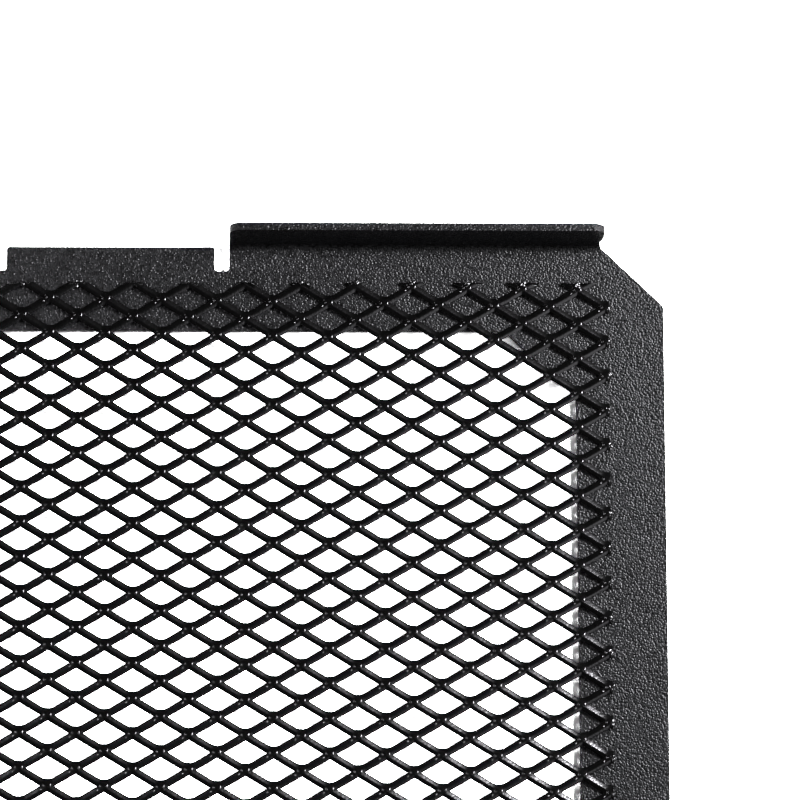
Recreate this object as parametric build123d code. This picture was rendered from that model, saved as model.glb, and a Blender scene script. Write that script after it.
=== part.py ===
from build123d import *
import math
import os

# Motorcycle radiator guard: a folded sheet frame with a panel of expanded metal
# welded over its window. Millimetres. It lies on its front face with the side that
# meets the radiator upwards, +X to the right and +Y towards the flanged edge.
# The origin is under the middle of the guard's box.

# Sheet frame
frame_width = 278.0
frame_height = 182.0
sheet_thickness = 2.0
side_rail = 22.2
top_rail = 21.25
bottom_rail = 21.5
corner_cut_across = 15.6
corner_cut_down = 14.8
corner_round = 1.5
window_cut_across = 18.1
window_cut_down = 16.65
window_round = 5.0

# Flat tab in the middle of the upper edge, freed by a relief slot at each end
tab_width = 51.9
tab_round = 0.6
relief_width = 3.75
relief_depth = 6.1
relief_round = 1.0

# Flanges that hook over the radiator, bent up from the upper edge. They rise from the
# rear face and lean out from square by some degrees. The line is where the inner face
# would meet the rear face, past the tab's edge. The bend's radius is its inner one.
flange_rise = 12.0
flange_lean = 10.0
flange_line = 0.35
flange_tip_round = 3.0
bend_radius = 2.0

# Expanded metal panel on the rear face. It laps over the rails. Its rows of knuckles,
# where strands cross, fall to the right by some degrees. A strand's crest is shifted
# upwards from its middle. The first knuckle is placed from the upper right corner.
mesh_lap_side = 8.2
mesh_lap_top = 12.2
mesh_lap_bottom = 12.6
long_pitch = 13.92
short_pitch = 8.67
row_fall = 0.96
strand_width = 1.72
strand_height = 2.0
crest_shift = 0.25
first_knuckle_in = 0.8
first_knuckle_down = 6.22

# The flange leans out past the tab's edge, so the box is deeper than the flat frame
lean = math.radians(flange_lean)
flange_tip_out = flange_line + flange_rise * math.tan(lean)
flange_reach = flange_tip_out + sheet_thickness * math.cos(lean)
half_width = frame_width / 2
tab_edge = (frame_height - flange_reach) / 2
lower_edge = tab_edge - frame_height

# The flat sheet ends where the bend starts
bend_turn = math.pi / 2 - lean
bend_start = tab_edge + flange_line - bend_radius * math.tan(bend_turn / 2)
flange_left = tab_width / 2 + relief_width
flange_right = half_width - corner_cut_across

# Window between the rails
window_width = frame_width - 2 * side_rail
window_top = tab_edge - top_rail
window_bottom = lower_edge + bottom_rail

# Outline of the expanded metal
mesh_right = window_width / 2 + mesh_lap_side
mesh_top = window_top + mesh_lap_top
mesh_bottom = window_bottom - mesh_lap_bottom


def cut_corner_plate(half, low, high, across, down):
    """Rectangle about the middle line with all four corners cut off."""
    right_side = [
        (half - across, low),
        (half, low + down),
        (half, high - down),
        (half - across, high),
    ]
    left_side = [(-x, y) for x, y in reversed(right_side)]
    return Polygon(*right_side, *left_side, align=None)


def relief_slot():
    """Slot at the tab's right end, open upwards, with a rounded floor."""
    floor = tab_edge - relief_depth
    middle = tab_width / 2 + relief_width / 2
    slot = Pos(middle, floor) * Rectangle(relief_width, 2 * relief_depth, align=(Align.CENTER, Align.MIN))
    return fillet(slot.vertices().group_by(Axis.Y)[0], relief_round)


def flat_sheet():
    """The frame before its flanges are bent: cut corners, tab, relief slots and window."""
    plate = cut_corner_plate(half_width, lower_edge, tab_edge, corner_cut_across, corner_cut_down)
    sides = plate.vertices().group_by(Axis.X)
    plate = fillet(sides[0] + sides[-1], corner_round)
    bend_strip = Pos(0, bend_start) * Rectangle(frame_width, frame_height, align=(Align.CENTER, Align.MIN))
    tab = Pos(0, tab_edge) * Rectangle(tab_width, relief_depth, align=(Align.CENTER, Align.MAX))
    tab = fillet(tab.vertices().group_by(Axis.Y)[-1], tab_round)
    window = cut_corner_plate(
        window_width / 2, window_bottom, window_top, window_cut_across, window_cut_down
    )
    window = fillet(window.vertices(), window_round)
    slot = relief_slot()
    outline = plate - bend_strip + tab - slot - mirror(slot, about=Plane.YZ) - window
    return extrude(outline, sheet_thickness)


def flange():
    """Right-hand flange: the bent sheet's section, drawn out along the edge."""
    rear = sheet_thickness
    inner_line = FilletPolyline(
        (bend_start - bend_radius, rear),
        (tab_edge + flange_line, rear),
        (tab_edge + flange_tip_out, rear + flange_rise),
        radius=bend_radius,
    )
    section = make_face(offset(inner_line, sheet_thickness, side=Side.RIGHT))
    bent = extrude(Plane.YZ.offset(flange_left) * section, half_width - flange_left)
    # The cut corner runs on through the bend until it meets the flange's end
    beyond = Polygon(
        (flange_right, tab_edge),
        (half_width, tab_edge - corner_cut_down),
        (half_width, tab_edge + flange_reach),
        (flange_right, tab_edge + flange_reach),
        align=None,
    )
    bent -= extrude(beyond, sheet_thickness + flange_rise)
    tip_face = bent.faces().sort_by(Axis.Z)[-1]
    tip_corners = tip_face.edges().sort_by(SortBy.LENGTH)[:2]
    return fillet(tip_corners, flange_tip_round)


def guard_frame():
    """The whole sheet: flat part and two flanges, alike on both sides."""
    right_flange = flange()
    return flat_sheet() + right_flange + mirror(right_flange, about=Plane.YZ)


def strand_family(along, step, sheet):
    """Strands that run one way across the sheet, a step apart, trimmed to it."""
    heading = along.normalized()
    upward = Vector(-heading.Y, heading.X)
    knuckle = Vector(mesh_right - first_knuckle_in, mesh_top - first_knuckle_down)
    middle = Vector(0, (mesh_top + mesh_bottom) / 2)
    corners = [Vector(x, y) for x in (-mesh_right, mesh_right) for y in (mesh_bottom, mesh_top)]
    places = [(corner - knuckle).dot(upward) / step.dot(upward) for corner in corners]
    section = Polygon(
        (-strand_width / 2, 0), (strand_width / 2, 0), (crest_shift, strand_height), align=None
    )
    reach = mesh_right + mesh_top - mesh_bottom
    strands = []
    for place in range(math.ceil(min(places)), math.floor(max(places)) + 1):
        point = knuckle + step * place
        point += heading * (middle - point).dot(heading)
        seat = Plane((point.X, point.Y, sheet_thickness), x_dir=upward, z_dir=heading)
        strand = extrude(seat * section, reach, both=True)
        strands += (strand & sheet).solids()
    return strands


def mesh_panel():
    """Expanded metal: two families of crossing strands, joined where they cross."""
    half_row = Vector(long_pitch / 2, -long_pitch / 2 * math.tan(math.radians(row_fall)))
    half_column = Vector(0, short_pitch / 2)
    rising = half_row + half_column
    falling = half_row - half_column
    sheet = Pos(0, mesh_bottom, sheet_thickness) * Box(
        2 * mesh_right, mesh_top - mesh_bottom, strand_height, align=(Align.CENTER, Align.MIN, Align.MIN)
    )
    strands = strand_family(rising, falling, sheet) + strand_family(falling, rising, sheet)
    joined = strands[0].fuse(*strands[1:])
    # A strand that only clips a corner of the sheet crosses no other and drops off
    return joined.solids().sort_by(SortBy.VOLUME)[-1]


os.makedirs("parts", exist_ok=True)
export_step(guard_frame(), "parts/guard_frame.step")
export_step(mesh_panel(), "parts/mesh_panel.step")
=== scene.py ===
# %% [markdown]
# # A radiator guard of sheet metal and expanded metal
# The guard is a folded steel sheet with a large window, closed by a panel of expanded metal that
# is welded on from behind. Everything is black powder coat. The measured solids come in first.
# They could simply be coloured, but their edges are sharp and their strands are plain bars. So they
# fix where everything is, finished pieces take their place, and the solids are kept, hidden.

# %% The measured solids
import bpy
import bmesh
import math
import random
from mathutils import Euler, Matrix, Vector


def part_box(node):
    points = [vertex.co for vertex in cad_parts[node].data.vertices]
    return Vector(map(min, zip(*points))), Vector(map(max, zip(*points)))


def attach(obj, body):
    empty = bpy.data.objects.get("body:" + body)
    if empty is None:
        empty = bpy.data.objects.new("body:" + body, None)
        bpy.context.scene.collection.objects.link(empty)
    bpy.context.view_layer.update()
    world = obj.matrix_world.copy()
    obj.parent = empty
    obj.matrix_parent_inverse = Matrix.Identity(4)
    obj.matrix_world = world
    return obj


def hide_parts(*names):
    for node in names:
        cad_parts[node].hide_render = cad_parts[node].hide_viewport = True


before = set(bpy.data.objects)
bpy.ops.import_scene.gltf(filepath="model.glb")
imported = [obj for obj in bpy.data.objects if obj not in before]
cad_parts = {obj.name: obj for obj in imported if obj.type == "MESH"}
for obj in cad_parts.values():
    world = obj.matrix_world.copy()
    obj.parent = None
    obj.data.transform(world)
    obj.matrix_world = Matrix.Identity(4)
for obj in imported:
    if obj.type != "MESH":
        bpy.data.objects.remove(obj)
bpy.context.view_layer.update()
MM = 0.001
print("solids:", sorted(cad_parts))

# %% [markdown]
# ## The folded sheet
# The frame is one steel sheet with cut corners, a tab and two flanges that hook over the radiator.
# It could be modelled again from a flat grid, but the solid already has the true outline and folds.
# It comes in as loose triangles, and a bevel rounds an edge only where two faces share it. So a
# copy is merged, and triangles that lie in one plane are joined into one face.

# %% Merged copy of the frame
merge_distance = 0.001 * MM
flat_angle = math.radians(0.5)
bm = bmesh.new()
bm.from_mesh(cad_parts["guard_frame"].data)
bmesh.ops.remove_doubles(bm, verts=bm.verts[:], dist=merge_distance)
bmesh.ops.dissolve_limit(bm, angle_limit=flat_angle, verts=bm.verts[:], edges=bm.edges[:])
print("faces of the merged frame:", len(bm.faces))

# %% [markdown]
# ## Waist of the flanges
# The outer ends of the flanges narrow to a small waist just above the bend, where the sheet was
# drawn in when it was folded. A lattice could pinch them, but an end is one flat face and has no
# points to pinch. A few level cuts give it some, and each point then moves inwards by how far it
# is past the start of the bend. A squared sine is used, because it starts and ends without a kink.

# %% Narrowed flange ends
sheet_thickness = 2 * MM
bend_start = 87.45 * MM
waist_depth = 0.6 * MM
waist_length = 10 * MM
waist_cuts = (4.2, 5.2, 6.4, 7.6, 9)
flange_level = 8 * MM
end_margin = 0.01 * MM

# Nothing but the flanges is as high as this level
flange_end = max(abs(vert.co.x) for vert in bm.verts if vert.co.z > flange_level)
for height in waist_cuts:
    everything = bm.verts[:] + bm.edges[:] + bm.faces[:]
    bmesh.ops.bisect_plane(bm, geom=everything, plane_co=(0, 0, height * MM), plane_no=(0, 0, 1))

narrowed = 0
for vert in bm.verts:
    past = vert.co.y - bend_start + max(0, vert.co.z - sheet_thickness)
    at_end = abs(vert.co.x) > flange_end - end_margin and vert.co.y > bend_start
    if at_end and 0 < past < waist_length:
        inwards = waist_depth * math.sin(math.pi * past / waist_length) ** 2
        vert.co.x -= math.copysign(inwards, vert.co.x)
        narrowed += 1
print("flanges end at millimetre", flange_end / MM, "and points drawn in:", narrowed)

# %% [markdown]
# ## Edges softened by the coat
# Powder melts into a skin that rounds every cut edge of the sheet. A Bevel modifier could do that
# too. The operator is chosen because it takes a list of edges, and the list here holds only those
# where two faces meet sharply, so the small facets of the bend stay as they are. The strands of the
# panel get the same rounding later, so it is a function.

# %% Rounded edges of the frame
coat_rounding = 0.3 * MM


def round_sharp_edges(bm, degrees, segments):
    """Rounds each edge where two faces meet at more than so many degrees."""
    limit = math.radians(degrees)
    sharp = [edge for edge in bm.edges if edge.is_manifold and edge.calc_face_angle() > limit]
    bmesh.ops.bevel(bm, geom=sharp, offset=coat_rounding, offset_type="OFFSET", segments=segments,
                    profile=0.5, affect="EDGES", clamp_overlap=True, material=-1)
    print("edges rounded:", len(sharp))


round_sharp_edges(bm, degrees=40, segments=3)

# %% [markdown]
# ## From mesh to piece
# The sheet is now a finished shape, and Blender shows it once it is an object. Smooth shading alone
# would smear the rounding over the large flat faces. Holding it off with marked edges is possible,
# but weighted normals are quicker: the large faces decide the shading, so flat stays flat.

# %% Finished frame
def piece_from(bm, name):
    """Turns a finished bmesh into an object at the origin."""
    mesh = bpy.data.meshes.new(name)
    bmesh.ops.recalc_face_normals(bm, faces=bm.faces[:])
    for face in bm.faces:
        face.smooth = True
    bm.to_mesh(mesh)
    bm.free()
    piece = bpy.data.objects.new(name, mesh)
    bpy.context.scene.collection.objects.link(piece)
    weighted = piece.modifiers.new("even_shading", "WEIGHTED_NORMAL")
    weighted.weight = 90
    mesh.calc_loop_triangles()
    print(name, "triangles:", len(mesh.loop_triangles))
    return piece


coated_frame = piece_from(bm, "coated_frame")
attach(coated_frame, "root")
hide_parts("guard_frame")

# %% [markdown]
# ## Slitting the sheet
# Expanded metal starts as a flat sheet. A press cuts staggered rows of slits in it and draws it
# out, so that each slit opens into a diamond and nothing is wasted. Crossed bars would give the
# diamonds too, but no true knuckles, so the model follows the press. A grid stands for the sheet,
# one row of faces to each strip between two rows of slits, and its edges are split wherever the
# press cuts. Where two slits leave a gap, the strips stay joined in a knuckle.

# %% Sheet with slits
# The grid is one unit wide and deep, and stands for a little more than the panel. Each of its spans
# goes from one place for a knuckle to the next, in a few steps. Strips and spans are counted from
# the panel's first knuckle, at its upper right corner.
half_side = 0.5
strips = 42
spans = 38
steps = 6
first_strip = -3
first_span = -37
bm = bmesh.new()
bmesh.ops.create_grid(bm, x_segments=spans * steps, y_segments=strips, size=half_side)


def column_of(point):
    return round((point.x + half_side) * spans * steps)


def line_of(point):
    return round((half_side - point.y) * strips)


def is_knuckle(column, line):
    """Knuckles sit at every second span, and from line to line they change places."""
    return column % steps == 0 and (column // steps + first_span + line + first_strip) % 2 == 0


slits = []
for edge in bm.edges:
    a, b = edge.verts
    along = line_of(a.co) == line_of(b.co) and 0 < line_of(a.co) < strips
    joined = is_knuckle(column_of(a.co), line_of(a.co)) or is_knuckle(column_of(b.co), line_of(b.co))
    if along and not joined:
        slits.append(edge)
bmesh.ops.split_edges(bm, edges=slits)
print("slit edges:", len(slits))

# %% [markdown]
# ## Shape of one strand
# Drawn out, each strip zigzags from a knuckle in the line above to one in the line below. Curves
# could bend it, but all strands are alike, so one strand's outline is enough for the whole panel.
# Going from the upper knuckle to the lower one, two lists give the places of its upper and lower
# edge at each step, across and up, in millimetres. Pitches, fall and first knuckle are those of
# the measured panel.

# %% Outline of a strand
reach = 6.96
rise = 4.335
upper_edge = [(0, rise), (1.1, rise), (2.6, 3.4), (4.2, 2.44), (5.72, 1.55), (6.36, 1.35), (reach, 1.35)]
lower_edge = [(0, 3.435), (0.35, 3.23), (2.2, 2.15), (3.9, 1.16), (5.35, 0.38), (5.86, 0), (reach, 0)]
knuckle_end = upper_edge[1][0]
slit_run = lower_edge[-2][0]
upper_drop = upper_edge[-1][1]
lower_rise = upper_edge[0][1] - lower_edge[0][1]

half_pitch = reach * MM
row_drop = rise * MM
fall_degrees = 0.96
row_fall = math.tan(math.radians(fall_degrees))
first_knuckle_in = 0.8 * MM
first_knuckle_down = 6.22 * MM
low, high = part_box("mesh_panel")
first_knuckle = Vector((high.x - first_knuckle_in, high.y - first_knuckle_down))
print("first knuckle in millimetres:", first_knuckle / MM)

# %% [markdown]
# ## Drawing it out
# The press pulls the strips apart and also turns each of them, so that the rows lie like roof
# tiles. Turning every strip as a piece of its own would tear the knuckles. So each point of the
# grid goes to its place on the strand's outline, and it is lifted or lowered by how far its edge
# has moved on the way, which turns the strips and leaves them joined.

# %% Opened diamonds
tilt = math.radians(45)


def drawn_place(column, strip, upper):
    """Where a point of a strip goes: its step along the zigzag, and its lift from the tilt."""
    span, step = divmod(column, steps)
    falls = is_knuckle(span * steps, strip)
    along = step if falls else steps - step
    if upper:
        across, up = upper_edge[along]
        moved = -upper_drop * max(0, across - knuckle_end)
    else:
        across, up = lower_edge[along]
        moved = lower_rise * max(0, slit_run - across)
    lift = moved / slit_run * math.tan(tilt) * MM
    across = across * MM if falls else half_pitch - across * MM
    x = first_knuckle.x + (span + first_span) * half_pitch + across
    row = first_knuckle.y - (strip + 1 + first_strip) * row_drop
    y = row + up * MM - row_fall * (x - first_knuckle.x)
    return Vector((x, y, lift))


places = {}
for face in bm.faces:
    strip = math.floor((half_side - face.calc_center_median().y) * strips)
    for vert in face.verts:
        places[vert] = drawn_place(column_of(vert.co), strip, line_of(vert.co) == strip)
for vert, place in places.items():
    vert.co = place
print("drawn points:", len(places))

# %% [markdown]
# ## Thickness and rounding
# The strands are as thick as the sheet that they were slit from, and the coat rounds them. A
# Solidify modifier would follow the slope of every single face. Extruding the whole sheet along
# one direction, square to the tilt, keeps all strands alike, and the bevel then rounds them. After
# the press, such panels are rolled flatter. Scaling the heights does that, and the panel is set
# down on the frame, a hair into its coat.

# %% Rounded strands
strand_depth = 1.7 * MM
flattening = 0.5
sink = 0.05 * MM
normal = Vector((0, math.sin(tilt), math.cos(tilt)))
for vert in bm.verts:
    vert.co -= normal * strand_depth / 2
pulled = bmesh.ops.extrude_face_region(bm, geom=bm.faces[:])["geom"]
pulled_verts = [part for part in pulled if isinstance(part, bmesh.types.BMVert)]
bmesh.ops.translate(bm, verts=pulled_verts, vec=normal * strand_depth)
bmesh.ops.recalc_face_normals(bm, faces=bm.faces[:])
round_sharp_edges(bm, degrees=50, segments=2)
lowest = min(vert.co.z for vert in bm.verts)
bmesh.ops.translate(bm, verts=bm.verts[:], vec=(0, 0, -lowest))
bmesh.ops.scale(bm, verts=bm.verts[:], vec=(1, 1, flattening))
bmesh.ops.translate(bm, verts=bm.verts[:], vec=(0, 0, low.z - sink))
print("panel's top in millimetres:", max(vert.co.z for vert in bm.verts) / MM)

# %% [markdown]
# ## Shearing the panel
# A shear cuts the drawn sheet to size, straight through its strands. A boolean with a box could do
# it, but four plane cuts are quicker and safer on a mesh with so many faces. Each of them leaves
# the strands open, so the holes are filled with end faces before the next one.

# %% Panel cut to size
cuts = [
    (Vector((high.x, 0, 0)), Vector((1, 0, 0))),
    (Vector((low.x, 0, 0)), Vector((-1, 0, 0))),
    (Vector((0, high.y, 0)), Vector((0, 1, 0))),
    (Vector((0, low.y, 0)), Vector((0, -1, 0))),
]
for point, outward in cuts:
    everything = bm.verts[:] + bm.edges[:] + bm.faces[:]
    bmesh.ops.bisect_plane(bm, geom=everything, plane_co=point, plane_no=outward, clear_outer=True)
    bmesh.ops.holes_fill(bm, edges=[edge for edge in bm.edges if edge.is_boundary], sides=0)
print("points after the shear:", len(bm.verts))

# %% [markdown]
# ## Loose bits
# A corner bit of strand that is joined to no other would fall off in the shop. In the editor one
# would select linked parts by eye. Here a walk from point to point along the edges finds what
# hangs together, and all but the largest part is deleted.

# %% Largest connected part
unseen = set(bm.verts)
islands = []
while unseen:
    front = [unseen.pop()]
    island = set(front)
    while front:
        vert = front.pop()
        near = {edge.other_vert(vert) for edge in vert.link_edges} - island
        island |= near
        front += near
    unseen -= island
    islands.append(island)
islands.sort(key=len)
for island in islands[:-1]:
    bmesh.ops.delete(bm, geom=list(island), context="VERTS")
print("islands dropped:", len(islands) - 1)

# %% [markdown]
# ## Ends of the strands
# The cut ends are welded down on the frame and get lumps of coat later, so their places are kept.
# They could be noted while cutting, but some of them went with the loose bits. So they are looked
# up in what is left: an end is a face that looks squarely outwards and lies on a plane of the cut.

# %% Finished panel
squarely = 0.999
set_back = 0.3 * MM
bmesh.ops.recalc_face_normals(bm, faces=bm.faces[:])
cut_ends = []
for face in bm.faces:
    middle = face.calc_center_median()
    for point, outward in cuts:
        on_plane = abs((middle - point).dot(outward)) < merge_distance
        if on_plane and face.normal.dot(outward) > squarely:
            cut_ends.append(middle - set_back * outward)
# The extrusion leaves its faces in no fixed order, so the ends are sorted, and all runs are alike
cut_ends.sort(key=lambda end: (round(end.x / MM, 2), round(end.y / MM, 2)))
print("cut ends:", len(cut_ends))

expanded_metal = piece_from(bm, "expanded_metal")
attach(expanded_metal, "root")
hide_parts("mesh_panel")

# %% [markdown]
# ## One drop of coat
# Melted powder gathers in the corners at the ends of each slit and sets there as small flat drops,
# which are what glitters on such a panel. A bump would have to know where every knuckle is, so they
# are modelled. One coarse sphere stands for a drop, since more than a thousand are needed.
# Stretched, turned and leaned copies of it go into one mesh, far quicker than making each anew.

# %% Drop to copy
drop = bpy.data.meshes.new("drop")
bm = bmesh.new()
bmesh.ops.create_uvsphere(bm, u_segments=8, v_segments=5, radius=1)
bm.to_mesh(drop)
bm.free()


def add_drop(bm, place, half_lengths, slope, turn):
    """Sets down a copy of the drop: half lengths in millimetres, turn in degrees."""
    stretch = Matrix.Diagonal((*(half * MM for half in half_lengths), 1))
    turned = Matrix.Rotation(math.radians(turn), 4, "Z")
    lean = Vector((0, 0, 1)).rotation_difference(Vector((*slope, 1))).to_matrix().to_4x4()
    copy = drop.copy()
    copy.transform(Matrix.Translation(place) @ lean @ turned @ stretch)
    bm.from_mesh(copy)
    bpy.data.meshes.remove(copy)


print("faces of a drop:", len(drop.polygons))

# %% [markdown]
# ## Drops at the knuckles
# Each knuckle has the same corners, so each gets the same few drops. Scattering them at random
# would look livelier close up, but it is the steady rows of glints that make such a panel. The
# table gives a knuckle's drops: the place beside its middle and above the table, the half lengths,
# both in millimetres, the slope that the drop leans to, and the degrees that it is turned.

# %% Drops beside the knuckles
drop_table = [
    ((0.8, 0.1, 3.42), (0.35, 0.65, 0.1), (0.43, 0.12), -12),
    ((-1.0, 0.05, 3.38), (0.35, 0.55, 0.1), (-0.46, 0.08), 12),
    ((-1.6, -0.9, 3.46), (0.5, 0.25, 0.08), (0.43, 0.12), 32),
]
left_margin = 2 * MM
right_margin = 0.5 * MM
row_margin = 1 * MM
bm = bmesh.new()
for line in range(strips + 1):
    for span in range(spans + 1):
        x = first_knuckle.x + (span + first_span) * half_pitch
        y = first_knuckle.y - (line + first_strip) * row_drop - row_fall * (x - first_knuckle.x)
        inside = low.x + left_margin < x < high.x and low.y + row_margin < y < high.y - row_margin
        if not (inside and is_knuckle(span * steps, line)):
            continue
        for offset, half_lengths, slope, turn in drop_table:
            place = Vector((x, y, 0)) + Vector(offset) * MM
            if place.x < high.x - right_margin:
                add_drop(bm, place, half_lengths, slope, turn)
coat_drops = piece_from(bm, "coat_drops")
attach(coat_drops, "root")

# %% [markdown]
# ## Dabs on the cut ends
# Where the shear cut the panel, the ends of the strands are welded to the frame, and the coat over
# them is lumpy. Sculpting each end would take long. Each gets a few more drops instead, and dice
# decide on their places, sizes and slopes, so that no two ends are alike. The dice have a fixed
# seed, so every run gives the same lumps. Lengths are in millimetres, and a lump's length and
# height are shares of its half width.

# %% Lumps on the cut ends
dice = random.Random(4)
lumps_on_an_end = 5
lump_height = 0.4
across_range = (-0.5, 0.5)
upward_range = (-0.6, 0.6)
half_range = (0.3, 0.55)
length_shares = (0.8, 1.6)
height_shares = (0.15, 0.3)
right_slope_range = (0.2, 0.5)
upward_slope_range = (-0.05, 0.25)
turn_range = (-60, 60)
bm = bmesh.new()
for end in cut_ends:
    for lump in range(lumps_on_an_end):
        shift = Vector((dice.uniform(*across_range), dice.uniform(*upward_range), lump_height)) * MM
        half = dice.uniform(*half_range)
        size = (half, half * dice.uniform(*length_shares), half * dice.uniform(*height_shares))
        slope = (dice.uniform(*right_slope_range), dice.uniform(*upward_slope_range))
        add_drop(bm, end + shift, size, slope, dice.uniform(*turn_range))
bpy.data.meshes.remove(drop)
cut_dabs = piece_from(bm, "cut_dabs")
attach(cut_dabs, "root")

# %% [markdown]
# ## Sand texture of the coat
# Textured powder sets in tiny rounded grains, about half a millimetre across, and each catches the
# light on its own. A noise texture would give soft waves. Voronoi cells are such grains: the
# distance from a cell's middle, times itself, is the shape of a small bowl, which a negative bump
# turns into a rounded grain, and the cell's random colour gives every grain its own tone. Both
# finishes use it, so it is a node group.

# %% Grain group
def link(tree, source, target):
    tree.links.new(source, target)


grain = bpy.data.node_groups.new("coat_grain", "ShaderNodeTree")
grain.interface.new_socket("Scale", in_out="INPUT", socket_type="NodeSocketFloat")
grain.interface.new_socket("Tone", in_out="OUTPUT", socket_type="NodeSocketFloat")
grain.interface.new_socket("Height", in_out="OUTPUT", socket_type="NodeSocketFloat")
entry = grain.nodes.new("NodeGroupInput")
leave = grain.nodes.new("NodeGroupOutput")
surface = grain.nodes.new("ShaderNodeTexCoord")
cells = grain.nodes.new("ShaderNodeTexVoronoi")
link(grain, surface.outputs["Object"], cells.inputs["Vector"])
link(grain, entry.outputs["Scale"], cells.inputs["Scale"])
bowl = grain.nodes.new("ShaderNodeMath")
bowl.operation = "MULTIPLY"
link(grain, cells.outputs["Distance"], bowl.inputs[0])
link(grain, cells.outputs["Distance"], bowl.inputs[1])
link(grain, bowl.outputs["Value"], leave.inputs["Height"])
tint = grain.nodes.new("ShaderNodeSeparateColor")
link(grain, cells.outputs["Color"], tint.inputs["Color"])
link(grain, tint.outputs["Red"], leave.inputs["Tone"])
print("grain group sockets:", [socket.name for socket in grain.interface.items_tree])

# %% [markdown]
# ## Two black finishes
# On the flat sheet the coat stays rough and sparkles. On the thin strands it runs together and
# sets smoother and glossier. Two materials could be built by hand, but they differ only in their
# values, so one function makes both: each grain has a tone between black and a lighter one, and the
# rest is the roughness, how many grains there are to the metre, their height, and the gloss.

# %% Coat materials
deep_black = (0.001, 0.001, 0.001, 1)
cool_glint = (0.96, 0.95, 1, 1)


def colour_mix(tree, factor, first, second):
    """Mix node that goes from the first colour to the second as the factor says."""
    mix = tree.nodes.new("ShaderNodeMix")
    mix.data_type = "RGBA"
    mix.inputs["A"].default_value = first
    mix.inputs["B"].default_value = second
    link(tree, factor, mix.inputs["Factor"])
    return mix


def powder_coat(name, light, roughness, grains_to_metre, grain_height, gloss):
    """Black powder coat: the grain sets the tone and raises the surface."""
    material = bpy.data.materials.new(name)
    material.use_nodes = True
    tree = material.node_tree
    group = tree.nodes.new("ShaderNodeGroup")
    group.node_tree = grain
    group.inputs["Scale"].default_value = grains_to_metre
    tones = colour_mix(tree, group.outputs["Tone"], deep_black, light)
    relief = tree.nodes.new("ShaderNodeBump")
    relief.inputs["Distance"].default_value = -grain_height
    link(tree, group.outputs["Height"], relief.inputs["Height"])
    shader = tree.nodes["Principled BSDF"]
    shader.inputs["Roughness"].default_value = roughness
    shader.inputs["IOR"].default_value = gloss
    shader.inputs["Specular Tint"].default_value = cool_glint
    link(tree, tones.outputs["Result"], shader.inputs["Base Color"])
    link(tree, relief.outputs["Normal"], shader.inputs["Normal"])
    return material


frame_coat = powder_coat("sand_coat", light=(0.024, 0.024, 0.026, 1), roughness=0.3,
                         grains_to_metre=1950, grain_height=0.16 * MM, gloss=1.47)
mesh_coat = powder_coat("strand_coat", light=(0.003, 0.003, 0.003, 1), roughness=0.22,
                        grains_to_metre=1500, grain_height=0.02 * MM, gloss=1.7)
frame_pieces = [coated_frame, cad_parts["guard_frame"]]
mesh_pieces = [expanded_metal, coat_drops, cut_dabs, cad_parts["mesh_panel"]]
for piece in frame_pieces + mesh_pieces:
    piece.data.materials.clear()
    piece.data.materials.append(frame_coat if piece in frame_pieces else mesh_coat)
print("coats:", [(piece.name, piece.data.materials[0].name) for piece in frame_pieces + mesh_pieces])

# %% [markdown]
# ## White table
# The guard lies on a white table. A curved backdrop is what a studio would use for a standing
# thing, but the camera looks down, so one flat face is enough. It is large, so that its far edge
# shows from no side, and a hair below the guard, so that the two never lie in the same plane.

# %% Floor
table_half_side = 15
table_level = -0.1 * MM
bm = bmesh.new()
bmesh.ops.create_grid(bm, x_segments=1, y_segments=1, size=table_half_side)
bmesh.ops.translate(bm, verts=bm.verts[:], vec=(0, 0, table_level))
floor_mesh = bpy.data.meshes.new("floor")
bm.to_mesh(floor_mesh)
bm.free()
floor = bpy.data.objects.new("floor", floor_mesh)
bpy.context.scene.collection.objects.link(floor)
print("table at millimetre", table_level / MM)

# %% [markdown]
# ## White paint
# The picture shows the table without a tone of its own, except for a pale shadow along the right
# side of the window. More light would whiten the table, and the guard with it. So its colour is
# raised only for what the camera sees, and it throws no more light on the guard than white paper
# does. Mirrored, it is plain white.

# %% Paint of the floor
paper_white = (0.8, 0.8, 0.8, 1)
plain_white = (1, 1, 1, 1)
glaring_white = (10, 10, 10, 1)
white = bpy.data.materials.new("white_table")
white.use_nodes = True
tree = white.node_tree
tree.nodes.clear()
rays = tree.nodes.new("ShaderNodeLightPath")
either = tree.nodes.new("ShaderNodeMath")
either.operation = "MAXIMUM"
link(tree, rays.outputs["Is Glossy Ray"], either.inputs[0])
link(tree, rays.outputs["Is Transmission Ray"], either.inputs[1])
mirrored = colour_mix(tree, either.outputs["Value"], paper_white, plain_white)
# The mirrored white then takes the place of the first colour
seen = colour_mix(tree, rays.outputs["Is Camera Ray"], paper_white, glaring_white)
link(tree, mirrored.outputs["Result"], seen.inputs["A"])
diffuse = tree.nodes.new("ShaderNodeBsdfDiffuse")
output = tree.nodes.new("ShaderNodeOutputMaterial")
link(tree, seen.outputs["Result"], diffuse.inputs["Color"])
link(tree, diffuse.outputs["BSDF"], output.inputs["Surface"])
floor_mesh.materials.append(white)
print("table's material:", white.name)

# %% [markdown]
# ## Lamps
# In the studio, a small bright lamp at the upper right gives the sparkle, the glints and most of
# the light. A long soft strip, lower at the right, fills in, and a small weak lamp close by on the
# left lights the other sides of the drops. Sun lamps would light all of it evenly. Area lamps are
# chosen because their size sets how soft the shadows are, and how large the glints.

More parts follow.
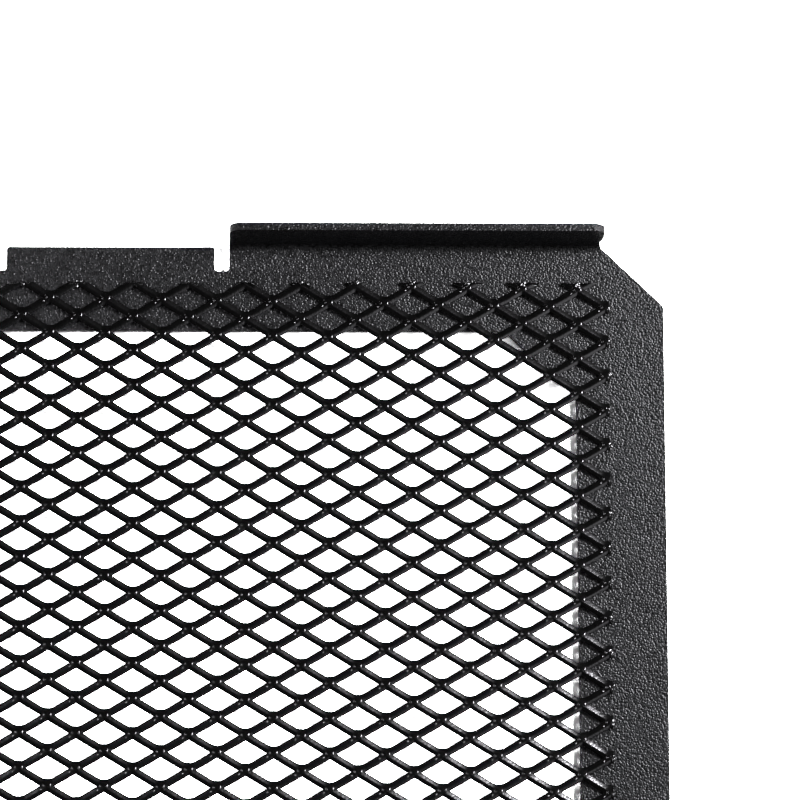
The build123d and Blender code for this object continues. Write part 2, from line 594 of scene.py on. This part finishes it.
# %% Three soft lamps
def soft_lamp(name, place, size, watts):
    """Area lamp that points at the guard, its first size level and its second upright."""
    data = bpy.data.lights.new(name, "AREA")
    data.shape = "RECTANGLE"
    data.size, data.size_y = size
    data.energy = watts
    lamp = bpy.data.objects.new(name, data)
    lamp.location = place
    lamp.rotation_euler = (-Vector(place)).to_track_quat("-Z", "Y").to_euler()
    bpy.context.scene.collection.objects.link(lamp)
    print(name, "watts:", watts)


soft_lamp("right_strip", place=(0.8, -0.2, 0.75), size=(1.6, 0.4), watts=2.5)
soft_lamp("right_lamp", place=(0.6, 0.24, 0.52), size=(0.17, 0.17), watts=8.0)
soft_lamp("left_lamp", place=(-0.25, 0.06, 0.26), size=(0.1, 0.1), watts=0.45)

# %% [markdown]
# ## Dark room
# The room around the table is nearly dark, so that the black stays black, and white only for the
# camera. A backdrop behind the table could give the white as well, but the world needs no object.
# The coat is neither metal nor glass, which would have to mirror a white room.

# %% World
room_light = 0.02
seen_light = 1.0
world = bpy.data.worlds.new("studio")
bpy.context.scene.world = world
world.use_nodes = True
tree = world.node_tree
background = tree.nodes["Background"]
background.inputs["Color"].default_value = plain_white
rays = tree.nodes.new("ShaderNodeLightPath")
strength = tree.nodes.new("ShaderNodeMapRange")
strength.inputs["To Min"].default_value = room_light
strength.inputs["To Max"].default_value = seen_light
link(tree, rays.outputs["Is Camera Ray"], strength.inputs["Value"])
link(tree, strength.outputs["Result"], background.inputs["Strength"])
print("light of the room:", room_light)

# %% [markdown]
# ## Camera
# The photograph looks nearly straight down from a little under a metre with a long lens. Aiming the
# camera at a point would be simpler, but its place and three angles were fitted to the outline and
# to the holes of the panel, so they are written down as they are.

# %% Camera and view
camera_millimetres = (28.5, -56.09, 896.1)
camera_degrees = (6.78, -2.79, 0.05)
eye = bpy.data.cameras.new("camera")
eye.sensor_width = 36
eye.lens = 162
camera = bpy.data.objects.new("camera", eye)
camera.location = [length * MM for length in camera_millimetres]
camera.rotation_mode = "ZYX"
camera.rotation_euler = Euler([math.radians(angle) for angle in camera_degrees], "ZYX")
bpy.context.scene.collection.objects.link(camera)
bpy.context.scene.camera = camera
bpy.context.scene.view_settings.view_transform = "Standard"
print("lens:", eye.lens, "camera height in metres:", camera.location.z)
